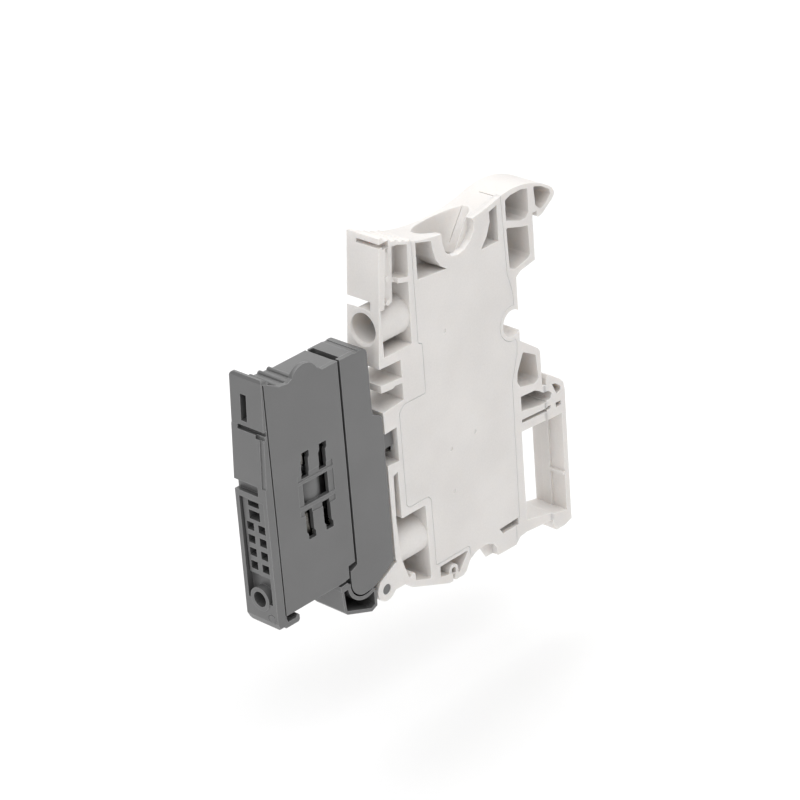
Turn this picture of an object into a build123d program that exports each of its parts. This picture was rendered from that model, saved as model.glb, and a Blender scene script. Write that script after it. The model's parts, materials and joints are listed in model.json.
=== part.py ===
from build123d import *
import math
import os

# Cartridge fuse terminal for a 35 mm top-hat rail. Millimetres.
# X runs from the operator's side (negative) to the rail, Y across the 8 mm pitch from the
# covered side (negative) to the closed side, Z upwards. The origin is the centre of the rail
# on the plane where the rail's flanges seat, in the middle of the thickness.

# ---------------------------------------------------------------- driving dimensions
RAIL_HALF = 17.5            # half of the 35 mm rail width
RAIL_GAP = 1.2              # slot that takes the 1 mm flange
THICK = 7.8                 # body thickness for an 8 mm pitch
NEAR = -THICK / 2
FAR = THICK / 2
WEB = 1.0                   # closed far wall of the light housing
COVER = 1.2                 # snapped-on side cover
SEAM = 0.08                 # gap round the side cover
MOVE_GAP = 0.3              # air between parts that move past each other

WIRE_X = -20.6              # middle of both wire entries
WIRE_HOLE_R = 2.5
SCREW_Z = {"upper": 9.6, "lower": -34.8}
SIDE = {"upper": 1, "lower": -1}        # which way the wire comes in along Z
ACCESS_R = 2.85             # screwdriver tube
TUBE_WALL = 0.9
FUNNEL_WALL = 0.8
FRONT_X = -41.8             # front of the light housing
OUT = 1.0                   # how far cutting tools run past the faces they cut

BUS_X = -23.5               # middle of the current bar where the wire is clamped
BUS_T = 1.0
BUS_HALF_W = 1.6
BUS_OUT_Z = {"upper": -14.5, "lower": -22.0}   # height where each bar leaves the housing

PIVOT = (-44.4, -40.3)      # lever axis, X and Z
PIVOT_R = 1.0
EAR_R = 2.3

FUSE_X = -59.4
FUSE_Z = -13.0              # middle of the fuse
FUSE_LEN = 20.0
CAP_R = 2.6
CAP_LEN = 5.4
GLASS_R = 2.45
BLADE_Z = {"upper": -4.0, "lower": -22.0}
BLADE_HALF_H = 1.2
BLADE_HALF_T = 0.4
TIP_X = -47.0               # inner end of the blades
LEVER_WALL = 0.9
LEVER_BACK = -51.75         # back edge of the lever's shell
EJECTOR_R = 0.45            # round ejector marks on the side cover
EJECTOR_DEPTH = 0.15
PANEL_GAP = 0.30            # shadow gap between the lever's front band and its side panel
BLOCK_FRONT = -51.2         # front edge of the contact block
BLOCK_FAR = 2.6             # far face of the contact block
BLOCK_TOP = 8.5
BLOCK_COVER = 1.0
BLOCK_CAP = 1.1             # height of the cap that runs over the lever's far wall


# ---------------------------------------------------------------- helpers
def slab(flat, near, far):
    """Extrude an X-Z outline between two Y values."""
    plane = Plane(origin=(0, far, 0), x_dir=(1, 0, 0), z_dir=(0, -1, 0))
    return extrude(plane * flat, amount=far - near, dir=(0, -1, 0))


def area(*points):
    return Polygon(*points, align=None)


def box(x0, x1, y0, y1, z0, z1):
    size = (abs(x1 - x0), abs(y1 - y0), abs(z1 - z0))
    middle = ((x0 + x1) / 2, (y0 + y1) / 2, (z0 + z1) / 2)
    return Pos(*middle) * Box(*size)


def rod_x(x0, x1, y, z, radius):
    return Pos((x0 + x1) / 2, y, z) * Rot(0, 90, 0) * Cylinder(radius, abs(x1 - x0))


def rod_y(y0, y1, x, z, radius):
    return Pos(x, (y0 + y1) / 2, z) * Rot(90, 0, 0) * Cylinder(radius, abs(y1 - y0))


def rod_z(z0, z1, x, y, radius):
    return Pos(x, y, (z0 + z1) / 2) * Cylinder(radius, abs(z1 - z0))


def disc(x, z, radius):
    return Pos(x, z) * Circle(radius)


def soft_area(*points, radius=0.3):
    """Polygon with rounded corners."""
    face = area(*points)
    return fillet(face.vertices(), radius)


def circle_through(first, second, third):
    """Middle and radius of the circle through three points."""
    (ax, az), (bx, bz), (cx, cz) = first, second, third
    d = 2 * (ax * (bz - cz) + bx * (cz - az) + cx * (az - bz))
    a2, b2, c2 = (x * x + z * z for x, z in (first, second, third))
    x = (a2 * (bz - cz) + b2 * (cz - az) + c2 * (az - bz)) / d
    z = (a2 * (cx - bx) + b2 * (ax - cx) + c2 * (bx - ax)) / d
    return x, z, math.hypot(ax - x, az - z)


def save(shape, name):
    shape.label = name
    export_step(shape, os.path.join("parts", name + ".step"))


# ---------------------------------------------------------------- outlines of the light housing
TOP_FRONT = (-39.4, 26.9)   # front corner of the saddle-shaped top
SADDLE_LOW = (-23.0, 22.2)
SADDLE_END = (-9.2, 23.7)
NOTCH = (-7.0, -1.7)        # round notch at the back of the housing
NOTCH_R = 2.6
FOOT_CUT = 1.0              # where the spring foot parts from the housing
RIB_LEFT = -6.3             # root of the foot's spring ribs


def body_outline():
    """Silhouette of the housing without the ear and the spring foot."""
    hook_end = (5.6, 20.8)
    edges = ThreePointArc(TOP_FRONT, SADDLE_LOW, SADDLE_END)
    edges += ThreePointArc(SADDLE_END, (-1.5, 23.95), hook_end)
    edges += Polyline(
        hook_end, (6.2, 19.8), (6.1, 19.2), (5.5, 18.5), (3.4, 17.1), (2.4, 16.5), (1.5, 16.4),
        (RAIL_GAP, 16.8), (RAIL_GAP, RAIL_HALF + 0.2), (0, RAIL_HALF + 0.2),
        (0, 8.4), (-4.0, 7.7), (-5.3, 6.9), (-5.3, -5.9), (-0.6, -9.3), (0, -10.2),
        (0, -RAIL_HALF), (FOOT_CUT - MOVE_GAP, -RAIL_HALF), (FOOT_CUT - MOVE_GAP, -46.3),
        (-6.6, -45.6), (-8.4, -45.8), (-9.6, -47.0), (-28.3, -46.6), (-38.0, -42.9),
        (-39.4, -41.6), (-41.6, -35.3), (FRONT_X, 3.5), TOP_FRONT,
    )
    return make_face(edges.edges()) - disc(*NOTCH, NOTCH_R)


def cover_outline():
    """Outline of the snapped-on side cover; past the body's free edges it runs on outside."""
    arc_r = NOTCH_R + 0.8
    lower = (NOTCH[0] + 0.6, NOTCH[1] - arc_r)
    upper = (NOTCH[0] + 0.6, NOTCH[1] + arc_r)
    edges = FilletPolyline(
        upper, (-6.4, 3.7), (-6.8, 5.6), (-7.6, 8.2), (-8.4, 30), (-31.6, 30), (-31.8, 4.0),
        (-30.8, 3.6), (-30.8, -6.1), (-36.6, -6.1), (-37.8, -7.3), (-37.8, -26.0),
        (-37.1, -26.7), (-32.2, -26.7), (-31.5, -27.5), (-31.4, -41.4), (-22.4, -41.4),
        (-21.6, -48), (-9.3, -48), (-9.3, -43.1), (-8.3, -42.2), (-8.0, -13.5), (-6.3, -8.3),
        (-6.1, -5.9), lower, radius=0.45,
    )
    edges += ThreePointArc(lower, (NOTCH[0] - arc_r, NOTCH[1]), upper)
    return make_face(edges.edges())


def wire_scallops():
    """U-shaped dips in the covered side at the two wire entries."""
    top = area(
        (-24.2, 30), (-23.9, 20.5), (-23.2, 18.4), (-21.8, 17.2), (-20.0, 16.9), (-18.4, 17.3),
        (-16.8, 18.4), (-15.6, 20.0), (-15.5, 21.4), (-15.9, 22.3), (-14.0, 23.4), (-14.0, 30),
    )
    bottom = area(
        (-25.2, -48), (-24.6, -46.8), (-23.5, -46.1), (-22.5, -44.4), (-20.6, -43.4), (-18.2, -43.1),
        (-15.9, -43.8), (-15.1, -45.0), (-14.6, -48),
    )
    return top + bottom


def pivot_ear():
    """Thin ear at the bottom front that carries the lever."""
    arm = area(
        (-46.0, -38.3), (-42.0, -36.2), (-40.9, -35.9), (-39.5, -41.5), (-42.2, -41.4),
        (-43.3, -42.3), (-45.6, -41.9), (-46.6, -40.3),
    )
    ear = slab(arm + disc(*PIVOT, EAR_R), NEAR, -1.4)
    return ear - rod_y(NEAR - OUT, 0, *PIVOT, PIVOT_R + 0.05)


def funnel_windows():
    """Two openings in the covered side, left and right of the upper wire entry."""
    left = area((-30.6, 23.0), (-26.6, 21.9), (-26.4, 20.1), (-25.8, 18.0), (-24.6, 16.3),
                (-23.2, 15.3), (-30.7, 16.0))
    right = area((-9.3, 22.6), (-11.5, 22.0), (-11.4, 20.1), (-12.5, 17.5), (-14.1, 15.6),
                 (-9.4, 15.6))
    return left + right


def wire_funnel(way, wider=0.0):
    """Hollow that leads a wire from the outside to the round hole above the clamp."""
    mouth_z = 27.0 if way == "upper" else -50.0
    throat_z = 15.6 if way == "upper" else -41.0
    chamber_z = SCREW_Z[way] + SIDE[way] * 4.3
    mouth_x = -19.7 if way == "upper" else -19.6
    mouth_half = 9.6 if way == "upper" else 6.6
    mouth = Pos(mouth_x, 0, mouth_z) * Ellipse(mouth_half + wider, 3.5 + wider)
    throat = Pos(WIRE_X, 0, throat_z) * Circle(WIRE_HOLE_R + wider)
    cone = loft([mouth, throat])
    return cone + rod_z(throat_z, chamber_z, WIRE_X, 0, WIRE_HOLE_R)


def clamp_chamber(way):
    z = SCREW_Z[way]
    return box(-31.0, -16.4, NEAR + COVER, FAR - WEB, z - 4.4, z + 4.4)


def bar_channels(way):
    """Slots in the housing that hold the current bar on its way to the front."""
    z_out = BUS_OUT_Z[way]
    z_clamp = SCREW_Z[way]
    low, high = sorted((z_out - SIDE[way] * 0.8, z_clamp))
    upright = box(BUS_X - 0.8, BUS_X + 0.8, NEAR + COVER, 1.9, low, high)
    level = box(FRONT_X - OUT, BUS_X + 0.8, -1.9, 1.9, z_out - 0.8, z_out + 0.8)
    return upright + level


def side_pockets():
    """Coring that is open on the covered side, as (outline, depth limit) pairs."""
    deep = FAR - WEB
    strip = -2.9
    return [
        # hook and back of the housing
        (soft_area((-7.1, 22.7), (-5.6, 23.2), (-2.8, 23.3), (-1.0, 22.9), (-1.0, 18.2), (-1.9, 17.4),
                   (-3.4, 17.4), (-7.1, 18.7)), deep),
        (soft_area((0.6, 22.7), (2.8, 22.0), (4.9, 20.7), (5.2, 19.7), (3.6, 18.2), (2.3, 17.6),
                   (0.9, 18.9)), deep),
        (soft_area((-7.2, 17.3), (-3.2, 16.1), (-1.4, 15.8), (-1.2, 10.0), (-2.0, 9.4), (-5.4, 8.6),
                   (-6.9, 9.2)), deep),
        (soft_area((-4.7, -8.5), (-1.3, -10.4), (-0.8, -15.4), (-1.9, -16.1), (-6.0, -15.2),
                   (-6.7, -13.9), (-6.5, -12.0)), deep),
        (area((-6.0, -17.2), (-2.1, -17.5), (-0.8, -18.1), (0.2, -18.9), (2, -19.2), (2, -21.1),
              (-1.0, -21.1), (-6.0, -20.2)), deep),
        (area((-6.0, -22.0), (2, -22.5), (2, -23.2), (-6.0, -22.7)), deep),
        # marker holder and screw tube at the upper front
        (area((-38.0, 24.6), (-34.8, 24.3), (-36.0, 13.6), (-39.4, 13.6)), strip),
        (soft_area((-35.4, 24.4), (-32.6, 23.5), (-32.9, 17.4), (-36.0, 18.2)), -0.6),
        (area((-36.1, 17.3), (-33.0, 16.5), (-33.3, 4.6), (-40.4, 4.6), (-40.4, 13.6),
              (-36.4, 13.6)), deep),
        # lower front
        (area((-40.5, -18.8), (-39.3, -18.4), (-39.2, -28.6), (-40.7, -28.6)), deep),
        (soft_area((-40.7, -27.4), (-39.0, -28.0), (-33.0, -28.0), (-32.9, -43.4), (-36.9, -42.0),
                   (-37.0, -40.2), (-37.9, -40.2), (-38.4, -41.2), (-40.3, -35.5)), deep),
        (soft_area((-30.4, -42.1), (-22.7, -42.1), (-25.3, -45.5), (-30.5, -44.3), radius=0.2), 1.5),
        (area((-27.3, -45.2), (-26.6, -45.2), (-26.6, -47.5), (-27.3, -47.5)), -1.0),
    ]


def cover_hook():
    """U-shaped snap that holds the side cover at the bottom edge."""
    x, z = (-26.85, -44.5)
    outer, inner = (1.2, 0.6)
    foot_z = -46.0
    bend = disc(x, z, outer) - disc(x, z, inner)
    bend &= area((x - 2, z), (x - 2, z + 2), (x + 2, z + 2), (x + 2, z))
    legs = area((x - outer, z), (x - inner, z), (x - inner, z - 1.1), (x - outer, z - 1.1))
    legs += area((x + inner, z), (x + outer, z), (x + outer, foot_z), (x + inner, foot_z))
    return slab(bend + legs, NEAR + 0.1, 1.6)


def marker_bumps():
    """Three small stops on the side of the marker holder."""
    bumps = []
    for x, z in ((-36.9, 23.9), (-38.0, 18.8), (-38.2, 14.4)):
        bumps.append(slab(disc(x, z, 0.5), NEAR + 0.15, -2.8))
    return bumps


def spring_window():
    """Opening between the body and the spring foot, right through."""
    return area((RIB_LEFT, -24.4), (2, -24.9), (2, -45.0), (-3, -43.9), (RIB_LEFT, -43.1))


# ---------------------------------------------------------------- light housing and its cover
def channel_cuts():
    """Two bridging channels that run across the whole front edge, and the lower window."""
    upper = area((-43, 2.9), (-36.4, 2.7), (-36.4, -0.8), (-43, -0.3))
    lower = area((-43, -1.7), (-38.9, -2.0), (-38.2, -1.7), (-36.4, -1.9), (-36.4, -5.2), (-43, -5.8))
    return slab(upper, NEAR - OUT, FAR + OUT) + slab(lower, NEAR - OUT, FAR + OUT)


def screw_tube(way):
    return rod_x(FRONT_X + 0.9, -31.6, 0, SCREW_Z[way], ACCESS_R + TUBE_WALL)


def marker_holder_cuts():
    """Slit and side notch that hold a marking strip, and the finger notch below them."""
    slit = box(-41, -38.0, NEAR - OUT, 1.6, 25.1, 25.9)
    side_notch = box(-38.8, -37.2, NEAR - OUT, -2.4, 24.6, 25.9)
    finger_notch = box(-43, -36.0, -1.8, FAR + OUT, 13.2, 14.9) - screw_tube("upper")
    view_through = box(-40.6, -34.5, 0.6, FAR + OUT, 9.6, 14.9) - screw_tube("upper")
    return slit + side_notch + finger_notch + view_through


def marker_grip():
    """Five low ridges across the top edge above the marker holder."""
    middle_x, middle_z, radius = circle_through(TOP_FRONT, SADDLE_LOW, SADDLE_END)
    ridges = []
    for step in range(5):
        x = -38.9 + step * 1.75
        surface = middle_z - math.sqrt(radius ** 2 - (x - middle_x) ** 2)
        ridges.append(slab(disc(x, surface - 0.25, 0.5), NEAR + 0.1, FAR - 0.1))
    return ridges


def parting_lines():
    """Fine lines where the two moulded halves meet on the top and in the wire funnel."""
    top = box(-8.8, -8.6, NEAR - OUT, 0.8, 23.5, 25)
    funnel = wire_funnel("upper", 0.2) & box(-31.8, -9.3, 0.72, 0.86, 17.0, 26.0)
    return top + funnel


def tube_mouth(way):
    """Small chamfer at the front end of the screwdriver tube."""
    x = FRONT_X + (0.55 if way == "upper" else 0.2)
    cone = Cone(ACCESS_R + 0.7, ACCESS_R - 0.1, 0.8)
    return Pos(x, 0, SCREW_Z[way]) * Rot(0, 90, 0) * cone


def block_latch_recess():
    """Recess in the front edge that takes the contact block's tongue."""
    return area((-43, -10.0), (-38.7, -9.7), (-38.7, -16.5), (-43, -16.2))


def cover_release_slot():
    """Shallow slot at the bottom edge where the side cover is levered off."""
    return area((-13.9, -41.7), (-8.7, -41.5), (-8.7, -43.0), (-13.1, -43.0))


# coring hidden behind the side cover: X from, X to, Z from, Z to
HIDDEN_CORING = (
    (-13.6, -9.7, 4.6, 13.0),
    (-21.6, -11.6, -12.6, 3.0),
    (-21.6, -11.6, -27.4, -13.8),
    (-36.2, -25.4, -20.4, -16.0),
    (-29.4, -25.4, -12.8, 3.4),
    (-14.4, -9.7, -39.6, -29.0),
)


def housing():
    body = slab(body_outline(), NEAR, FAR)
    for ridge in marker_grip():
        body += ridge
    for outline, depth in side_pockets():
        body -= slab(outline, NEAR - OUT, depth)
    for rib in (screw_tube("upper"), screw_tube("lower"), *marker_bumps()):
        body += rib
    body += cover_hook()
    body += pivot_ear()

    body -= slab(cover_outline(), NEAR - OUT, NEAR + COVER)
    body -= slab(wire_scallops(), NEAR - OUT, -2.5)
    body -= slab(funnel_windows(), NEAR - OUT, 1.2) - wire_funnel("upper", FUNNEL_WALL)
    for x0, x1, z0, z1 in HIDDEN_CORING:
        body -= box(x0, x1, NEAR + COVER - 0.1, FAR - WEB, z0, z1)
    for way in SCREW_Z:
        body -= clamp_chamber(way)
        body -= wire_funnel(way)
        body -= bar_channels(way)
        body -= rod_x(FRONT_X - OUT, -30.9, 0, SCREW_Z[way], ACCESS_R)
        body -= tube_mouth(way)
    body -= channel_cuts()
    body -= marker_holder_cuts()
    body -= parting_lines()
    body -= slab(block_latch_recess(), NEAR - OUT, 2.2)
    body -= slab(spring_window(), NEAR - OUT, FAR + OUT)
    body -= slab(cover_release_slot(), NEAR - OUT, 0)
    return body


def side_cover():
    panel = slab(offset(cover_outline(), -SEAM) & body_outline(), NEAR, NEAR + COVER)
    panel -= slab(wire_scallops(), NEAR - OUT, 0)
    panel -= slab(funnel_windows(), NEAR - OUT, 0)
    panel -= slab(cover_release_slot(), NEAR - OUT, 0)
    for x, z in ((-24.9, 3.8), (-18.9, -19.0), (-25.3, -19.8), (-25.3, -28.5)):
        panel -= rod_y(NEAR - OUT, NEAR + EJECTOR_DEPTH, x, z, EJECTOR_R)
    return panel


def rail_foot():
    """Sprung foot that snaps behind the lower edge of the rail."""
    outline = area(
        (FOOT_CUT, -18.9), (FOOT_CUT + 0.2, -RAIL_HALF), (RAIL_GAP + 0.1, -16.5), (1.7, -15.8),
        (2.4, -16.1), (5.0, -17.9), (6.0, -19.0), (6.3, -20.6), (6.3, -48.4), (4.4, -49.0),
        (1.9, -49.0), (FOOT_CUT, -47.2),
    )
    foot = slab(outline, NEAR, FAR)
    foot -= slab(area((0, -25.0), (5.1, -25.2), (5.1, -46.0), (0, -44.9)), NEAR - OUT, FAR + OUT)
    deep = FAR - WEB
    foot -= slab(area((0, -18.9), (1.7, -19.1), (2.6, -19.9), (2.2, -20.9), (0, -21.0)), NEAR - OUT, deep)
    foot -= slab(area((0, -22.2), (2.2, -22.3), (2.0, -22.9), (0, -22.9)), NEAR - OUT, deep)
    foot -= slab(area((2.8, -18.2), (3.8, -18.4), (5.1, -19.5), (5.1, -20.3), (3.9, -20.6)),
                 NEAR - OUT, deep)
    foot -= slab(area((3.5, -22.4), (5.0, -22.5), (5.0, -23.3), (3.6, -23.4)), NEAR - OUT, deep)
    foot += box(4.7, 5.2, -0.5, 1.5, -46.2, -24.9)
    foot += box(4.5, 5.2, NEAR, -0.4, -38.3, -37.7)
    return foot


# ---------------------------------------------------------------- clamps and current bars
def clamp_screw(way):
    z = SCREW_Z[way]
    head = rod_x(-34.0, -31.5, 0, z, 2.4)
    head -= box(-34.1, -32.8, -0.4, 0.4, z - 3, z + 3)
    shank = rod_x(-31.6, -24.2, 0, z, 1.5)
    return head + shank


def clamp_cage(way):
    z = SCREW_Z[way]
    cage = box(-27.0, -17.1, -2.45, 2.45, z - 3.9, z + 3.9)
    cage -= box(-24.6, -18.1, -1.9, 1.9, z - 5, z + 5)
    cage -= rod_x(-28, -24, 0, z, 1.55)
    wire_pad = box(-18.3, -17.6, -1.2, 1.2, z - 3.0, z + 3.0)
    return cage + wire_pad


def busbar(way):
    """Bent strip from the clamp through the housing to the fork that grips the lever's blade."""
    z_out = BUS_OUT_Z[way]
    z_clamp_end = SCREW_Z[way] + SIDE[way] * 3.8
    half = BUS_T / 2
    low, high = sorted((z_out - SIDE[way] * half, z_clamp_end))
    bar = box(BUS_X - half, BUS_X + half, -BUS_HALF_W, BUS_HALF_W, low, high)
    bar += box(-45.6, BUS_X, -BUS_HALF_W, BUS_HALF_W, z_out - half, z_out + half)
    fork_z = BLADE_Z[way]
    low, high = sorted((z_out - SIDE[way] * half, fork_z + SIDE[way] * 1.4))
    low = min(low, fork_z - 1.4)
    bar += box(-45.6, -44.6, -BUS_HALF_W, BUS_HALF_W, low, high)
    for side in (-1, 1):
        y0, y1 = sorted((side * 0.45, side * 1.05))
        bar += box(-50.4, -45.5, y0, y1, fork_z - 1.4, fork_z + 1.4)
    return bar


def fork_spring(way):
    """Steel clip over the fork; the blade passes under its bridge."""
    z = BLADE_Z[way]
    spring = box(-49.6, -46.8, -1.42, 1.42, z - 1.2, z + 1.75)
    return spring - box(-50, -46, -1.1, 1.1, z - 2, z + 1.45)


# ---------------------------------------------------------------- contact block
def block_outline():
    nose = (-49.8, -35.3)
    nose_r = 3.2
    left = (nose[0] - nose_r, nose[1])
    bottom = (nose[0], nose[1] - nose_r)
    turn = (nose[0] - nose_r * math.sin(math.pi / 4), nose[1] - nose_r * math.sin(math.pi / 4))
    edges = ThreePointArc(left, turn, bottom)
    edges += Polyline(
        bottom, (-47.8, -38.3), (-46.1, -37.6), (-42.1, -35.2), (-42.1, -6.4), (-42.8, -5.6),
        (-44.4, -5.0), (-44.5, BLOCK_TOP - 1.3),
    )
    edges += ThreePointArc((-44.5, BLOCK_TOP - 1.3), (-44.88, BLOCK_TOP - 0.38), (-45.8, BLOCK_TOP))
    edges += Polyline(
        (-45.8, BLOCK_TOP), (BLOCK_FRONT, BLOCK_TOP), (BLOCK_FRONT, -31.95), (left[0], -32.65), left,
    )
    return make_face(edges.edges())


def block_hollows():
    """Room for both forks, the bars behind them, the blades' swing and a screwdriver."""
    inner = -44.2
    room = box(-52, inner, -1.7, 1.7, -7.4, -2.0)
    room += box(-46.0, inner, -1.7, 1.7, -15.3, -2.2)
    room += box(inner - 1, -41, -1.7, 1.7, -15.3, -13.7)
    room += box(-52, inner, -1.7, 1.7, -25.4, -20.0)
    room += box(inner - 1, -41, -1.7, 1.7, -22.8, -21.2)
    room += rod_x(-54, -41, 0, SCREW_Z["lower"], 2.1)
    room += box(BLOCK_FRONT - 0.1, -50.3, -3.0, 2.2, 3.0, 9.0)
    room += box(BLOCK_FRONT - 0.1, -50.3, 2.1, 3.5, BLOCK_TOP - BLOCK_CAP - OUT, 9.0)
    return room


def block_top_groove():
    """Wide shallow groove across the top of the contact block."""
    return box(-47.6, -46.5, NEAR - OUT, FAR + OUT, BLOCK_TOP - 0.12, BLOCK_TOP + 1)


def contact_block():
    body = slab(block_outline(), NEAR + BLOCK_COVER, BLOCK_FAR)
    over_lever = box(-52, -41, BLOCK_FAR - 0.5, FAR, BLOCK_TOP - BLOCK_CAP, BLOCK_TOP)
    body += slab(block_outline(), BLOCK_FAR - 0.5, FAR) & over_lever
    body -= block_hollows()
    body -= block_top_groove()
    tongue = box(-42.2, -39.0, -2.9, 2.0, -13.3, -10.3)
    return body + tongue


def contact_block_cover():
    return slab(block_outline(), NEAR, NEAR + BLOCK_COVER) - block_top_groove()


# ---------------------------------------------------------------- lever that carries the fuse
def front_corners():
    """What the rounded corners take off the upper and lower ends of the front wall."""
    radius = 0.8
    top_z, bottom_z = (11.9, -36.3)
    corners = []
    for side in (-1, 1):
        y = side * (FAR - radius)
        y0, y1 = sorted((y, y + side * 2 * radius))
        upper = box(-71.6, -66.6, y0, y1, top_z - radius, top_z + radius)
        corners.append(upper - rod_x(-72, -66, y, top_z - radius, radius))
        lower = box(-71.6, -69.6, y0, y1, bottom_z - radius, bottom_z + radius)
        corners.append(lower - rod_x(-72, -66, y, bottom_z + radius, radius))
    return corners


def lever_front():
    """Front wall with the pull lip, label field, indicator grid and test socket."""
    wall = slab(
        area((-69.4, 11.9), (-69.75, 11.3), (-70.3, 2.4), (-70.4, 2.3), (-71.1, -8.0), (-71.2, -10.2),
             (-71.4, -34.8), (-70.7, -36.3), (-66.5, -36.3), (-66.2, -35.9), (-66.2, -35.0),
             (-66.5, -34.8), (-66.9, -35.0), (-67.1, -35.3), (-69.0, -35.3), (-69.3, -34.6),
             (-69.3, -34.0), (-68.0, -34.0), (-68.0, 9.0),
             (-68.5, 11.3), (-68.9, 11.85)), NEAR, FAR)
    wall -= front_corners()
    label_step = area((-72, 1.7), (-70.28, 1.7), (-70.93, -8.3), (-72, -8.3))
    wall -= slab(label_step, NEAR - OUT, -3.0)
    wall -= box(-73, -70.0, NEAR - OUT, -2.0, 0.9, 1.7)
    ring_mark = rod_x(-72, -71.25, -2.5, -34.2, 1.0) - rod_x(-73, -71, -2.5, -34.2, 0.82)
    wall -= ring_mark
    wall -= box(-73, -68, 0.0, 1.45, 3.3, 8.3)
    wall -= box(-73, -69.6, NEAR - OUT, 2.4, 1.6, 2.5)
    wall -= box(-73, -70.2, -1.9, FAR + OUT, -10.1, -8.2)
    field_top = -11.2
    field_bottom = -31.3
    wall -= box(-73, -70.0, -3.0, 3.0, field_bottom, field_top)
    wall += box(-70.7, -68.5, -2.7, 2.7, -26.4, field_top + 0.1)
    wall += rod_x(-71.5, -68.5, 0.1, -30.9, 2.3)
    wall -= rod_x(-72, -67, 0.1, -30.9, 1.5)
    wall -= box(-73, -67, -1.25, 1.45, -12.9, -11.8)
    wall -= box(-73, -67, -1.25, 1.45, -15.5, -13.7)
    for column in (-1.4, 1.4):
        for row in range(4):
            z = -17.0 - row * 2.6
            wall -= box(-73, -67, column - 0.85, column + 0.85, z - 0.8, z + 0.8)
    return wall


def grip_ridges():
    """Four low rounded ridges across the top of the lever, behind the pull lip."""
    ridges = []
    for x, z in ((-67.3, 9.9), (-65.1, 8.85), (-62.9, 8.67), (-60.7, 8.49)):
        ridges.append(slab(disc(x, z - 0.05, 0.5), NEAR + LEVER_WALL + 0.1, FAR))
    return ridges


def lever_cradle():
    """Shelf under the fuse, the arched strip under the block's nose and the open pocket below it."""
    nose = (-49.8, -35.3)
    inner_r = 3.2 + 0.35
    outer_r = inner_r + 0.7
    behind_panel = NEAR + LEVER_WALL
    arch = disc(*nose, outer_r) - disc(*nose, inner_r)
    arch &= area((-56, -35.0), (-56, -42), (-46.7, -42), (-46.7, -38.9), (-48.6, -38.2), (nose[0], -35.0))
    shelf = area((-68.5, -33.2), (-53.9, -33.2), (-53.9, -34.0), (-68.5, -34.0))
    link = area((-55.7, -33.3), (-53.8, -33.3), (-53.35, -35.6), (-54.2, -36.0), (-55.7, -35.6))
    rim = area((-55.7, -34.6), (-54.0, -34.45), (-53.35, -35.6), (-54.2, -36.0), (-55.7, -35.6))
    pocket = area((-55.7, -35.0), (-55.3, -40.0), (-54.7, -40.7), (-48.6, -42.9), (-47.2, -42.3),
                  (-47.0, -39.2), (-48.0, -38.8), (-53.0, -36.0))
    hollow = area((-55.1, -35.9), (-54.75, -39.8), (-54.4, -40.1), (-48.6, -42.2), (-47.7, -41.8),
                  (-47.7, -39.2), (-49.8, -38.9), (-52.8, -37.0), (-53.6, -35.7))
    walls = slab(arch, NEAR, FAR - 0.5)
    walls += slab(shelf, behind_panel, FAR - 0.5)
    walls += slab(link - hollow, behind_panel, FAR - 0.5)
    walls += slab(rim - hollow, NEAR, behind_panel)
    walls += slab(pocket - hollow - disc(*nose, inner_r), NEAR, FAR - 0.5)
    return walls


def lever_frame():
    inner = FAR - LEVER_WALL
    outline = area(
        (-69.0, 9.0), (-65.8, 8.4), (-59.5, 8.4), (LEVER_BACK, 8.5),
        (LEVER_BACK, BLOCK_TOP - BLOCK_CAP - MOVE_GAP), (-44.8, BLOCK_TOP - BLOCK_CAP - MOVE_GAP),
        (-44.7, -38.1), (-46.5, -42.0),
        (-48.6, -42.9), (-54.7, -40.7), (-55.3, -40.0), (-55.7, -35.1), (-68.5, -35.1),
    )
    frame = slab(outline, inner, FAR)
    frame += lever_front()
    frame += slab(area((-68.8, 10.9), (-65.8, 8.9), (-59.6, 8.4), (LEVER_BACK, 8.5), (LEVER_BACK, 7.4),
                       (-65.6, 7.6), (-68.5, 9.0)), NEAR + LEVER_WALL, FAR)
    for ridge in grip_ridges():
        frame += ridge
    frame += lever_cradle()
    frame += slab(disc(*PIVOT, 2.2) + area((-47.6, -38.8), (-44.8, -38.2), (-44.4, -42.4), (-47.6, -42.5)),
                  -1.0, FAR)
    frame += rod_y(-3.7, -0.9, *PIVOT, PIVOT_R)
    frame += fuse_saddles()
    for shift in (0, -PANEL_GAP):
        frame -= slab(Pos(shift, 0) * lever_panel_outline(), NEAR - OUT, NEAR + LEVER_WALL)
    return frame


def fuse_saddles():
    """Ribs on the lever's far wall that locate the fuse and its clips."""
    inner = FAR - LEVER_WALL + 0.1
    middle = box(-63.0, -55.8, 0.0, inner, FUSE_Z - 1, FUSE_Z + 1)
    middle -= rod_z(FUSE_Z - 2, FUSE_Z + 2, FUSE_X, 0, GLASS_R + 0.1)
    ribs = middle
    half = FUSE_LEN / 2
    for side in (-1, 1):
        z0, z1 = sorted((FUSE_Z + side * (half + 0.2), FUSE_Z + side * (half + 1.1)))
        ribs += box(-62.0, -57.0, -1.5, inner, z0, z1)
    for z in BLADE_Z.values():
        ribs += box(-55.7, -54.9, 0.5, inner, z - 1.2, z + 1.2)
    return ribs


def cover_slot(x0, x1, z0, z1, jog):
    """One test slot: a tall slot whose outer end steps sideways by the jog."""
    middle = z1 - 1.6 if jog > 0 else z0 + 1.6
    if jog > 0:
        return area((x0, z0), (x1, z0), (x1, middle), (x1 + 0.35, middle + 0.5), (x1 + 0.35, z1),
                    (x0 + 0.35, z1), (x0 + 0.35, middle + 0.5), (x0, middle))
    return area((x0, z1), (x1, z1), (x1, middle), (x1 + 0.35, middle - 0.5), (x1 + 0.35, z0),
                (x0 + 0.35, z0), (x0 + 0.35, middle - 0.5), (x0, middle))


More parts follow.
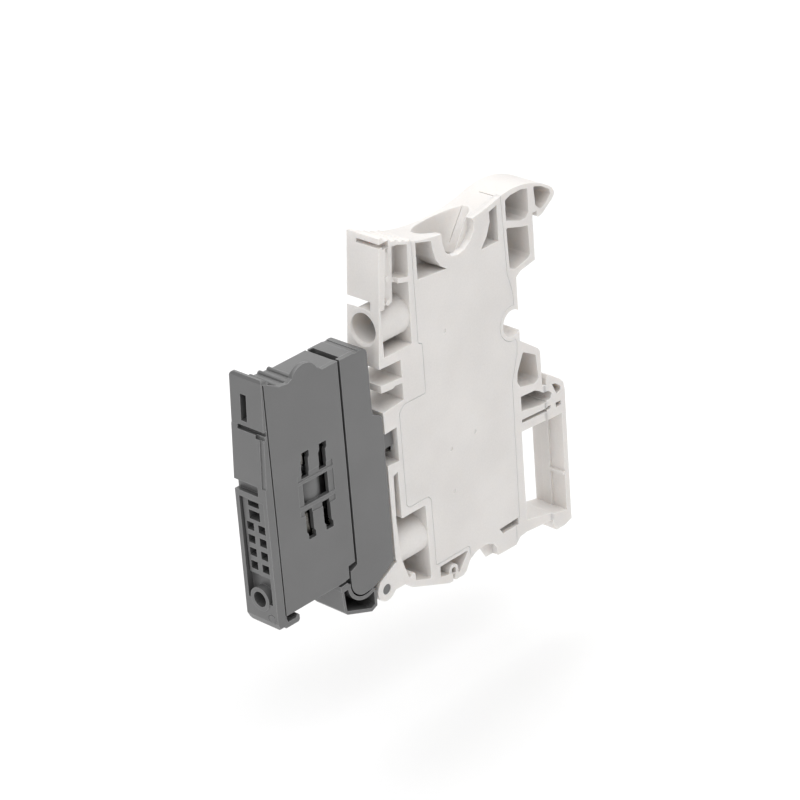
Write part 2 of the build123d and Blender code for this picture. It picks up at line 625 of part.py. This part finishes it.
def lever_panel_outline():
    """Side panel of the lever with the round finger guard on its top edge."""
    panel = area(
        (-69.2, 11.1), (-68.7, 10.9), (-65.8, 9.4), (-63.6, 9.1), (-62.6, 9.6), (-56.4, 9.3),
        (-55.4, 8.5), (LEVER_BACK, 8.6), (LEVER_BACK, -31.1), (-53.45, -31.3),
        (-53.45, -33.7), (-55.0, -34.0), (-69.2, -34.0))
    return panel + disc(-59.7, 7.9, 3.4)


def lever_cover():
    """The snapped-on side panel, with its four test slots and the shroud round the fuse."""
    panel = slab(lever_panel_outline(), NEAR, NEAR + LEVER_WALL - 0.02)
    window = box(-62.4, -56.3, NEAR - OUT, NEAR + 2, -15.1, -10.8)
    recess = box(-63.6, -55.0, NEAR - OUT, NEAR + 0.15, -17.0, -9.0)
    recess -= box(-64, -54.8, NEAR - OUT, NEAR + 1, -10.8, -10.2)
    recess -= box(-64, -54.8, NEAR - OUT, NEAR + 1, -15.8, -15.1)
    panel -= recess
    panel -= window
    shroud = rod_z(-15.2, -10.7, FUSE_X, 0, GLASS_R + 0.85) - rod_z(-16, -10, FUSE_X, 0, GLASS_R + 0.4)
    shroud &= box(-61.9, -56.6, NEAR, -0.9, -15.2, -10.7)
    panel += shroud
    for x in (-62.5, -58.2):
        panel -= slab(cover_slot(x, x + 1.8, -9.9, -4.9, 1), NEAR - OUT, NEAR + 2)
        panel -= slab(cover_slot(x, x + 1.8, -21.9, -16.2, -1), NEAR - OUT, NEAR + 2)
    return panel


def fuse_clip(way):
    """Folded contact: two fingers on the fuse cap, a back plate and the blade."""
    z = BLADE_Z[way]
    side = SIDE[way]
    root = z + side * 1.2
    finger_end = FUSE_Z + side * (FUSE_LEN / 2 - 4.9)
    jaw = area((-56.0, root), (-60.4, root), (-60.4, finger_end), (-58.3, finger_end),
               (-58.3, root - side * 1.5), (-56.0, root - side * 1.5))
    clip = slab(jaw, -2.95, -CAP_R - 0.03) + slab(jaw, CAP_R + 0.03, 2.95)
    low, high = sorted((root, root - side * 2.4))
    clip += box(-56.2, -55.8, -2.95, 2.95, low, high)
    clip += box(-56.0, TIP_X, -BLADE_HALF_T, BLADE_HALF_T, z - BLADE_HALF_H, z + BLADE_HALF_H)
    return clip


# ---------------------------------------------------------------- the 5 x 20 mm fuse
def fuse_cap(way):
    end = FUSE_Z + SIDE[way] * FUSE_LEN / 2
    start = end - SIDE[way] * CAP_LEN
    low, high = sorted((start, end))
    cap = rod_z(low, high, FUSE_X, 0, CAP_R)
    cap = fillet(cap.edges().filter_by(GeomType.CIRCLE), 0.3)
    bore_low, bore_high = sorted((start - SIDE[way], end - SIDE[way] * 0.5))
    return cap - rod_z(bore_low, bore_high, FUSE_X, 0, GLASS_R + 0.02)


def fuse_tube():
    half = FUSE_LEN / 2 - 0.55
    tube = rod_z(FUSE_Z - half, FUSE_Z + half, FUSE_X, 0, GLASS_R)
    return tube - rod_z(FUSE_Z - half - 1, FUSE_Z + half + 1, FUSE_X, 0, GLASS_R - 0.5)


def fuse_wire():
    half = FUSE_LEN / 2 - 0.6
    return rod_z(FUSE_Z - half, FUSE_Z + half, FUSE_X, 0, 0.15)


# ---------------------------------------------------------------- write every piece
os.makedirs("parts", exist_ok=True)
PIECES = {
    "housing": housing(),
    "side_cover": side_cover(),
    "rail_foot": rail_foot(),
    "contact_block": contact_block(),
    "contact_block_cover": contact_block_cover(),
    "lever_frame": lever_frame(),
    "lever_cover": lever_cover(),
    "fuse_tube": fuse_tube(),
    "fuse_wire": fuse_wire(),
}
for way in SCREW_Z:
    PIECES["busbar_" + way] = busbar(way)
    PIECES["fork_spring_" + way] = fork_spring(way)
    PIECES["clamp_screw_" + way] = clamp_screw(way)
    PIECES["clamp_cage_" + way] = clamp_cage(way)
    PIECES["fuse_clip_" + way] = fuse_clip(way)
    PIECES["fuse_cap_" + way] = fuse_cap(way)
for name, shape in PIECES.items():
    save(shape, name)
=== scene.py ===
import json
import math

import bpy
from mathutils import Matrix, Vector


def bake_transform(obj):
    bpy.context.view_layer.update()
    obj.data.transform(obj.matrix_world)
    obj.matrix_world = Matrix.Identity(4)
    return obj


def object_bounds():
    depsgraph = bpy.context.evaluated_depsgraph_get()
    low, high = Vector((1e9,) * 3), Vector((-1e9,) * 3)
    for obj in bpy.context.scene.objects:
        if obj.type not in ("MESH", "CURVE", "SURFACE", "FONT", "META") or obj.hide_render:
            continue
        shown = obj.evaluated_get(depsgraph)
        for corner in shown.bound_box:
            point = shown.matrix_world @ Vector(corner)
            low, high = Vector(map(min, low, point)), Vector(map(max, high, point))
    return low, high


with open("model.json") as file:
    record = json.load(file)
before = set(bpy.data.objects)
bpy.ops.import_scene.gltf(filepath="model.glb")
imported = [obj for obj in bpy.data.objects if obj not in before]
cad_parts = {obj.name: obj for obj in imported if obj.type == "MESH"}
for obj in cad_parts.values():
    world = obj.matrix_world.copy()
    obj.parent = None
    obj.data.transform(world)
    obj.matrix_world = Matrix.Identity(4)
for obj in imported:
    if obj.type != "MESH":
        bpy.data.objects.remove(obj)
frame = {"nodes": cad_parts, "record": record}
cad_low, cad_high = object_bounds()

MM = 0.001


# ---------------------------------------------------------------- materials
class Nodes:
    """A material's node tree with short calls for the nodes used here."""

    def __init__(self, name):
        self.material = bpy.data.materials.new(name)
        self.material.use_nodes = True
        self.tree = self.material.node_tree
        self.shader = self.tree.nodes["Principled BSDF"]
        self.place = self.add("ShaderNodeTexCoord").outputs["Object"]

    def add(self, kind, **settings):
        node = self.tree.nodes.new(kind)
        for key, value in settings.items():
            setattr(node, key, value)
        return node

    def link(self, output, socket):
        self.tree.links.new(output, socket)

    def noise(self, scale, detail, rough=0.5, place=None):
        node = self.add("ShaderNodeTexNoise")
        node.inputs["Scale"].default_value = scale
        node.inputs["Detail"].default_value = detail
        node.inputs["Roughness"].default_value = rough
        self.link(place or self.place, node.inputs["Vector"])
        return node.outputs["Fac"]

    def stretched(self, factors):
        node = self.add("ShaderNodeMapping")
        node.inputs["Scale"].default_value = factors
        self.link(self.place, node.inputs["Vector"])
        return node.outputs["Vector"]

    def ramp(self, value, stops):
        node = self.add("ShaderNodeValToRGB")
        elements = node.color_ramp.elements
        while len(elements) < len(stops):
            elements.new(0.5)
        for element, (where, colour) in zip(elements, stops):
            element.position = where
            element.color = (*colour, 1.0)
        self.link(value, node.inputs["Fac"])
        return node.outputs["Color"]

    def spread(self, value, low, high, start=0.3, end=0.7):
        node = self.add("ShaderNodeMapRange")
        node.inputs["From Min"].default_value = start
        node.inputs["From Max"].default_value = end
        node.inputs["To Min"].default_value = low
        node.inputs["To Max"].default_value = high
        self.link(value, node.inputs["Value"])
        return node.outputs["Result"]

    def mix(self, amount, first, second):
        node = self.add("ShaderNodeMix", data_type="RGBA")
        if isinstance(amount, float):
            node.inputs["Factor"].default_value = amount
        else:
            self.link(amount, node.inputs["Factor"])
        for letter, value in (("A", first), ("B", second)):
            target = [i for i in node.inputs if i.name == letter and i.type == "RGBA"][0]
            if isinstance(value, tuple):
                target.default_value = (*value, 1.0)
            else:
                self.link(value, target)
        return [o for o in node.outputs if o.type == "RGBA"][0]

    def edge_mask(self, radius):
        """1 along rounded edges and corners, 0 on flats."""
        rounded = self.add("ShaderNodeBevel", samples=4)
        rounded.inputs["Radius"].default_value = radius
        flat = self.add("ShaderNodeNewGeometry").outputs["Normal"]
        dot = self.add("ShaderNodeVectorMath", operation="DOT_PRODUCT")
        self.link(rounded.outputs["Normal"], dot.inputs[0])
        self.link(flat, dot.inputs[1])
        return self.spread(dot.outputs["Value"], 1.0, 0.0, 0.80, 0.995)

    def cavity(self, distance):
        """1 in the open, falling to 0 deep in a hollow."""
        node = self.add("ShaderNodeAmbientOcclusion", samples=6)
        node.inputs["Distance"].default_value = distance
        return node.outputs["AO"]

    def bump(self, height, distance, strength, after=None):
        node = self.add("ShaderNodeBump")
        node.inputs["Distance"].default_value = distance
        node.inputs["Strength"].default_value = strength
        self.link(height, node.inputs["Height"])
        if after is not None:
            self.link(after, node.inputs["Normal"])
        return node.outputs["Normal"]


# Noise scales are in waves per metre.
DRIFT_SCALE = 90.0              # slow change of shade over a whole face
SPECK_SCALE = 2600.0            # pigment specks
SPECK_AMOUNT = 0.10
FLOW_SCALE = 30.0               # how the melt ran, seen in the gloss
WAVE_SCALE = 220.0              # shallow sink marks
WAVE_DEPTH = 0.05 * MM
SKIN_DEPTH = 0.02 * MM
HOLLOW_SHADE_REACH = 4.0 * MM         # how far the painted shade reaches from a wall into a hollow
# reach and strength of the painted highlight along edges
EDGE_HIGHLIGHT_REACH = 0.22 * MM
EDGE_HIGHLIGHT_AMOUNT = 0.5
GLOW_REACH = (1.5 * MM, 1.3 * MM, 1.1 * MM)


def shades(colour, darker, lighter):
    """Two stops of a colour ramp, one each side of its middle."""
    return [(0.35, tuple(c * darker for c in colour)), (0.65, tuple(c * lighter for c in colour))]


def moulded(name, colour, edge_highlight, hollow_shade, rough, grain, hollow_shade_amount, glow, gloss):
    """Injection moulded plastic with a spark-eroded skin, a painted highlight along its edges and painted
    shade in its hollows.
    """
    n = Nodes(name)
    shade = n.ramp(n.noise(DRIFT_SCALE, 2.0), shades(colour, 0.965, 1.03))
    speck = n.ramp(n.noise(SPECK_SCALE, 3.0, 0.65), shades(colour, 0.80, 1.15))
    shade = n.mix(SPECK_AMOUNT, shade, speck)
    # painted shade: the colour turns towards the hollow colour where walls close in
    painted_shade_mask = n.spread(n.cavity(HOLLOW_SHADE_REACH), hollow_shade_amount, 0.0, 0.10, 0.80)
    shade = n.mix(painted_shade_mask, shade, hollow_shade)
    # painted highlight: the colour turns towards the edge colour along rounded edges
    highlight_mask = n.spread(n.edge_mask(EDGE_HIGHLIGHT_REACH), 0.0, EDGE_HIGHLIGHT_AMOUNT, 0.0, 1.0)
    shade = n.mix(highlight_mask, shade, edge_highlight)
    n.link(shade, n.shader.inputs["Base Color"])
    flow = n.noise(FLOW_SCALE, 2.0, 0.5, n.stretched((1.0, 1.0, 3.5)))
    n.link(n.spread(flow, rough - 0.05, rough + 0.07), n.shader.inputs["Roughness"])
    skin = n.bump(n.noise(grain, 4.0, 0.6), SKIN_DEPTH, 0.55)
    waves = n.bump(n.noise(WAVE_SCALE, 1.0), WAVE_DEPTH, 0.30, skin)
    n.link(waves, n.shader.inputs["Normal"])
    n.shader.inputs["Subsurface Weight"].default_value = glow
    n.shader.inputs["Subsurface Scale"].default_value = 1.0
    n.shader.inputs["Subsurface Radius"].default_value = GLOW_REACH
    n.shader.inputs["Specular IOR Level"].default_value = gloss
    return n.material


CLOUD_SCALE = 700.0             # tarnish clouds
MARK_SCALE = 2200.0             # rolling marks, drawn out along one direction
MARK_DEPTH = 0.01 * MM
# reach of the painted shade on metal deep inside the housing
HIDDEN_SHADE_REACH = 9.0 * MM
HIDDEN_SHADE = 0.06             # painted shade, as a fraction of the tarnish colour, deep inside the housing


def plated(name, colour, tarnish, rough, run):
    """Plated metal with fine rolling marks along one direction, small tarnish clouds and painted shade
    deep inside the housing.
    """
    n = Nodes(name)
    clouds = n.noise(CLOUD_SCALE, 4.0, 0.6)
    shade = n.ramp(clouds, [(0.38, tarnish), (0.66, colour)])
    # painted shade: metal deep inside the housing turns near black
    painted_shade_mask = n.spread(n.cavity(HIDDEN_SHADE_REACH), 0.98, 0.0, 0.32, 0.80)
    shade = n.mix(painted_shade_mask, shade, tuple(c * HIDDEN_SHADE for c in tarnish))
    n.link(shade, n.shader.inputs["Base Color"])
    marks = n.noise(MARK_SCALE, 3.0, 0.6, n.stretched(run))
    n.link(n.spread(marks, rough - 0.07, rough + 0.12), n.shader.inputs["Roughness"])
    n.link(n.bump(marks, MARK_DEPTH, 0.6), n.shader.inputs["Normal"])
    n.shader.inputs["Metallic"].default_value = 1.0
    return n.material


STREAK_SCALE = 900.0
STREAK_RUN = (1.0, 1.0, 0.06)
GLASS_IOR = 1.5


def clear_glass(name):
    """Drawn glass tube with faint streaks and a trace of haze."""
    n = Nodes(name)
    streak = n.noise(STREAK_SCALE, 3.0, 0.6, n.stretched(STREAK_RUN))
    n.link(n.spread(streak, 0.01, 0.09), n.shader.inputs["Roughness"])
    tint = n.ramp(streak, [(0.3, (0.93, 0.97, 0.96)), (0.7, (0.99, 1.0, 1.0))])
    n.link(tint, n.shader.inputs["Base Color"])
    n.link(n.bump(streak, MARK_DEPTH, 0.4), n.shader.inputs["Normal"])
    n.shader.inputs["Transmission Weight"].default_value = 1.0
    n.shader.inputs["IOR"].default_value = GLASS_IOR
    return n.material


# hollow and depth: colour and strength of the painted shade in hollows; edge: colour of the painted
# highlight along edges
LIGHT = dict(colour=(0.722, 0.697, 0.675), edge_highlight=(0.86, 0.845, 0.830), hollow_shade=(0.66, 0.615, 0.57),
             rough=0.46, grain=5200.0, hollow_shade_amount=0.14, glow=0.30, gloss=0.42)
DARK = dict(colour=(0.112, 0.112, 0.112), edge_highlight=(0.38, 0.38, 0.38), hollow_shade=(0.060, 0.060, 0.060),
            rough=0.38, grain=4800.0, hollow_shade_amount=0.90, glow=0.0, gloss=0.80)
ALONG_X = (0.05, 1.0, 1.0)
ALONG_Z = (1.0, 1.0, 0.05)
MATERIALS = {
    "light_housing": moulded("light_housing_plastic", **LIGHT),
    "light_cover": moulded("light_cover_plastic", **LIGHT),
    "light_foot": moulded("light_foot_plastic", **LIGHT),
    "dark_block": moulded("dark_block_plastic", **DARK),
    "dark_block_cover": moulded("dark_block_cover_plastic", **DARK),
    "dark_lever": moulded("dark_lever_plastic", **DARK),
    "dark_lever_cover": moulded("dark_lever_cover_plastic", **DARK),
    "tinned_copper": plated("tin_on_copper", (0.74, 0.73, 0.70), (0.55, 0.52, 0.47), 0.32, ALONG_X),
    "spring_steel": plated("bright_spring_steel", (0.60, 0.61, 0.62), (0.42, 0.42, 0.42), 0.24, ALONG_X),
    "zinc_screw": plated("zinc_on_screw", (0.72, 0.73, 0.75), (0.52, 0.53, 0.52), 0.30, ALONG_X),
    "zinc_cage": plated("zinc_on_cage", (0.66, 0.67, 0.69), (0.58, 0.58, 0.58), 0.36, ALONG_Z),
    "silvered_clip": plated("silver_on_clip", (0.62, 0.61, 0.58), (0.44, 0.42, 0.37), 0.28, ALONG_Z),
    "nickel_cap": plated("nickel_on_cap", (0.50, 0.49, 0.46), (0.30, 0.28, 0.25), 0.28, ALONG_Z),
    "fuse_glass": clear_glass("fuse_tube_glass"),
    "fuse_element": plated("tinned_fuse_wire", (0.72, 0.70, 0.66), (0.50, 0.47, 0.43), 0.28, ALONG_Z),
}


# ---------------------------------------------------------------- CAD nodes: softened edges, finishes with painted shade and edge highlights
EDGE_RADIUS = {                         # mm
    "light_housing": 0.14, "light_cover": 0.10, "light_foot": 0.14,
    "dark_block": 0.14, "dark_block_cover": 0.12, "dark_lever": 0.12, "dark_lever_cover": 0.12,
    "tinned_copper": 0.06, "spring_steel": 0.04, "zinc_screw": 0.08, "zinc_cage": 0.08,
    "silvered_clip": 0.04,
}


WELD_WITHIN = 0.002 * MM
SHARP_FROM = math.radians(32)


def soften(node, radius):
    """Joins the split corners of the mesh and rounds its sharp edges."""
    weld = node.modifiers.new("weld", "WELD")
    weld.merge_threshold = WELD_WITHIN
    bevel = node.modifiers.new("edges", "BEVEL")
    bevel.width = radius * MM
    bevel.segments = 2
    bevel.limit_method = "ANGLE"
    bevel.angle_limit = SHARP_FROM
    bevel.use_clamp_overlap = True
    bevel.harden_normals = False
    bevel.miter_outer = "MITER_ARC"
    weighted = node.modifiers.new("shading", "WEIGHTED_NORMAL")
    weighted.keep_sharp = True


slot_of = {part["node"]: part["material_slot"] for part in frame["record"]["subparts"]}
for name, node in frame["nodes"].items():
    finish = slot_of[name]
    for holder in node.material_slots:
        holder.link = "OBJECT"
        holder.material = MATERIALS[finish]
    if finish in EDGE_RADIUS:
        soften(node, EDGE_RADIUS[finish])


# ---------------------------------------------------------------- webs from housing to spring foot
WEB_LEFT, WEB_RIGHT = 0.55, 1.15        # mm, just past both sides of the parting gap
WEB_STEPS = 8
HALF_THICK = 3.9
WEBS = (                                # Y from, Y to, Z from, Z to, in mm
    (-HALF_THICK, HALF_THICK, -18.95, -17.70),
    (-HALF_THICK, HALF_THICK, -22.35, -21.15),
    (-HALF_THICK, HALF_THICK, -24.75, -23.25),
    (-HALF_THICK, HALF_THICK, -46.25, -44.95),
    (2.9, HALF_THICK, -24.70, -17.75),
)


def add_web(vertices, faces, y0, y1, z0, z1):
    """A closed strip across the gap, cut into short spans along X."""
    first = len(vertices)
    for step in range(WEB_STEPS + 1):
        x = WEB_LEFT + (WEB_RIGHT - WEB_LEFT) * step / WEB_STEPS
        for y, z in ((y0, z0), (y1, z0), (y1, z1), (y0, z1)):
            vertices.append((x * MM, y * MM, z * MM))
    for step in range(WEB_STEPS):
        ring = first + step * 4
        for side in range(4):
            after = (side + 1) % 4
            faces.append((ring + side, ring + after, ring + after + 4, ring + side + 4))
    last = first + WEB_STEPS * 4
    faces.append((first + 3, first + 2, first + 1, first))
    faces.append((last, last + 1, last + 2, last + 3))


def make_foot_webs():
    vertices, faces = [], []
    for web in WEBS:
        add_web(vertices, faces, *web)
    mesh = bpy.data.meshes.new("foot_webs")
    mesh.from_pydata(vertices, [], faces)
    mesh.materials.append(MATERIALS["light_foot"])
    webs = bpy.data.objects.new("foot_webs", mesh)
    bpy.context.scene.collection.objects.link(webs)
    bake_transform(webs)


make_foot_webs()


# ---------------------------------------------------------------- stage, light and camera
FLOOR_Z = -69.0 * MM        # clear of the lever when it hangs open, at 90 degrees
FLOOR_HALF = 3.0
WORLD_STRENGTH = 0.46
STUDIO_LIGHTS = (           # name, place and size in metres, power in watts
    ("top_light", (-0.06, -0.04, 0.95), 1.8, 14.0),
    ("front_light", (-0.95, -0.25, 0.35), 0.5, 1.25),
    ("side_light", (0.35, -0.95, 0.30), 0.6, 0.40),
    ("back_light", (0.62, 0.63, 0.42), 0.6, 0.80),
)


def floor_material():
    n = Nodes("pale_floor")
    shade = n.ramp(n.noise(3.0, 2.0), [(0.3, (0.87, 0.87, 0.87)), (0.7, (0.89, 0.89, 0.89))])
    n.link(shade, n.shader.inputs["Base Color"])
    n.shader.inputs["Roughness"].default_value = 0.75
    n.shader.inputs["Specular IOR Level"].default_value = 0.1
    return n.material


def make_floor():
    mesh = bpy.data.meshes.new("floor")
    turns = ((-1, -1), (1, -1), (1, 1), (-1, 1))
    corners = [(x * FLOOR_HALF, y * FLOOR_HALF, FLOOR_Z) for x, y in turns]
    mesh.from_pydata(corners, [], [(0, 1, 2, 3)])
    mesh.materials.append(floor_material())
    floor = bpy.data.objects.new("floor", mesh)
    bpy.context.scene.collection.objects.link(floor)


def soft_light(name, place, size, power):
    data = bpy.data.lights.new(name, "AREA")
    data.shape = "DISK"
    data.size = size
    data.energy = power
    light = bpy.data.objects.new(name, data)
    middle = (cad_low + cad_high) / 2
    light.location = Vector(place)
    light.rotation_mode = "QUATERNION"
    light.rotation_quaternion = (middle - light.location).to_track_quat("-Z", "Y")
    bpy.context.scene.collection.objects.link(light)


def make_world():
    world = bpy.data.worlds.new("studio")
    world.use_nodes = True
    backdrop = world.node_tree.nodes["Background"]
    backdrop.inputs["Color"].default_value = (1.0, 1.0, 1.0, 1.0)
    backdrop.inputs["Strength"].default_value = WORLD_STRENGTH
    bpy.context.scene.world = world


CAMERA_PLACE = Vector((-0.37335, -0.34514, 0.23440))
CAMERA_RIGHT = Vector((0.68528, -0.72477, -0.07136))
CAMERA_UP = Vector((0.36942, 0.26150, 0.89171))
CAMERA_BACK = Vector((-0.62763, -0.63744, 0.44695))
CAMERA_LENS = 136.22                    # mm, on a sensor 36 mm wide


def make_camera():
    data = bpy.data.cameras.new("camera")
    data.sensor_width = 36.0
    data.lens = CAMERA_LENS
    data.clip_start = 0.02
    data.clip_end = 20.0
    camera = bpy.data.objects.new("camera", data)
    stand = Matrix((CAMERA_RIGHT, CAMERA_UP, CAMERA_BACK)).transposed().to_4x4()
    stand.translation = CAMERA_PLACE
    camera.matrix_world = stand
    bpy.context.scene.collection.objects.link(camera)
    bpy.context.scene.camera = camera


make_floor()
make_world()
for studio_light in STUDIO_LIGHTS:
    soft_light(*studio_light)
make_camera()
bpy.context.scene.view_settings.view_transform = "Standard"
bpy.context.scene.view_settings.look = "None"
